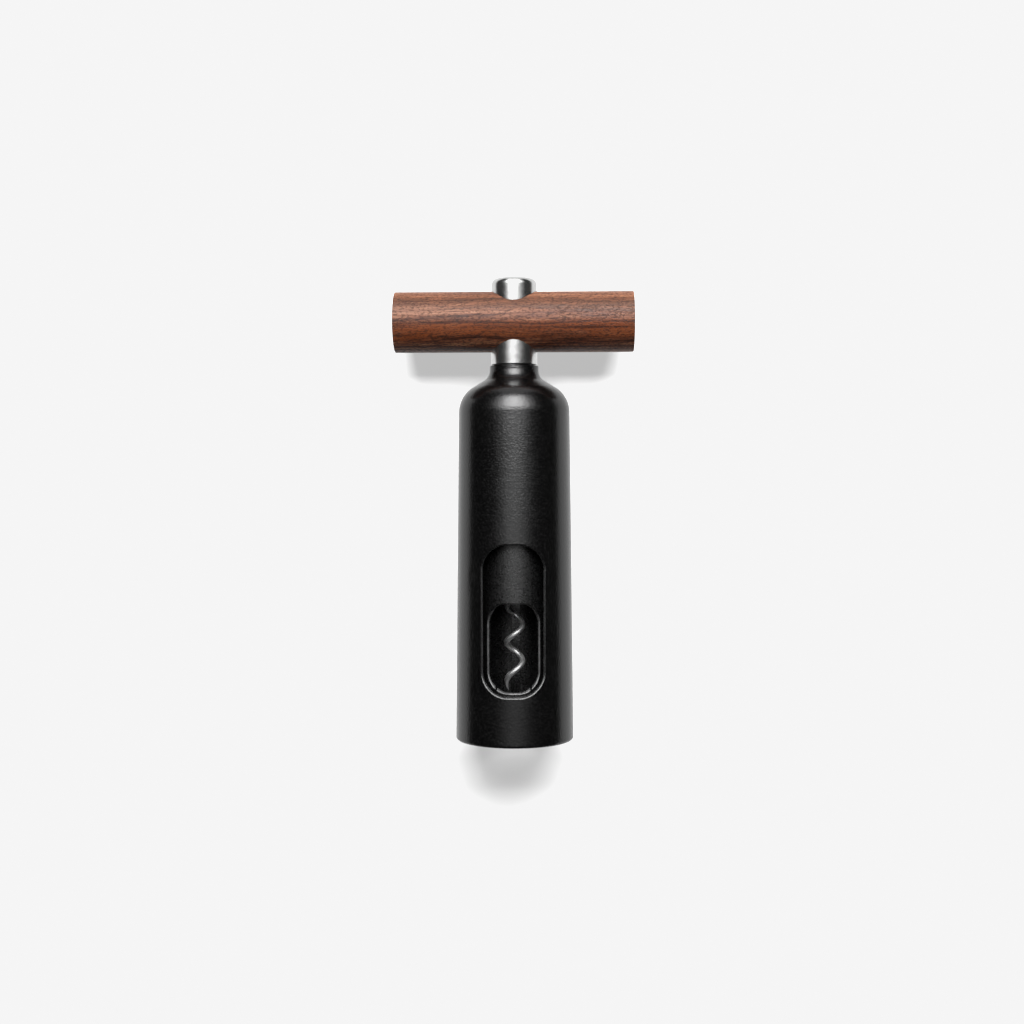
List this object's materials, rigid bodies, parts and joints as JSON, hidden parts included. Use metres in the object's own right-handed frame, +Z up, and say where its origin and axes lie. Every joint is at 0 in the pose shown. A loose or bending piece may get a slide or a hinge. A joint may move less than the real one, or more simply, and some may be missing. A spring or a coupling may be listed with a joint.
{
  "type": "bell corkscrew",
  "caption": "Bottle-shaped black bell with a front window, a right-hand worm inside on a turning spindle, and a turned wooden cross handle on a steel collar and cap.",
  "frame": {"origin": "centre of the bell's bottom rim, on the plane it stands on", "axes": "+Z up along the spindle, -Y out of the window, X along the wooden handle"},
  "size_m": [0.0994, 0.0488, 0.1915],
  "materials": {
    "bell_plastic": "fine moulded texture, matte black",
    "liner_plastic": "smooth matte black",
    "seat_rubber": "matte",
    "bush_plastic": "smooth, self-lubricating",
    "washer_plastic": "smooth",
    "spindle_steel": "turned",
    "worm_steel": "polished",
    "screw_steel": "black oxide",
    "spring_steel": "oiled spring steel",
    "stem_satin_steel": "satin turned",
    "handle_wood": "reddish-brown, oiled, grain along the grip"
  },
  "bodies": {
    "housing": {"outer_housing": "bell_plastic", "inner_sleeve": "liner_plastic", "lip_seat_ring": "seat_rubber", "upper_bush": "bush_plastic", "lower_bush": "bush_plastic", "upper_thrust_washer": "washer_plastic", "lower_thrust_washer": "washer_plastic"},
    "drive": {"spindle": "spindle_steel", "worm": "worm_steel", "worm_grub_screws": "screw_steel", "retaining_ring": "spring_steel", "wave_washer": "spring_steel", "stem_collar": "stem_satin_steel", "collar_roll_pin": "spring_steel", "drive_pins": "spindle_steel", "handle": "handle_wood", "handle_washer": "spindle_steel", "spring_washer": "spring_steel", "stem_cap": "stem_satin_steel"}
  },
  "joints": [
    {"name": "handle_spin", "type": "hinge", "parent": "housing", "child": "drive", "pos_m": [0, 0, 0.145], "axis": [0, 0, 1], "continuous": true}
  ]
}
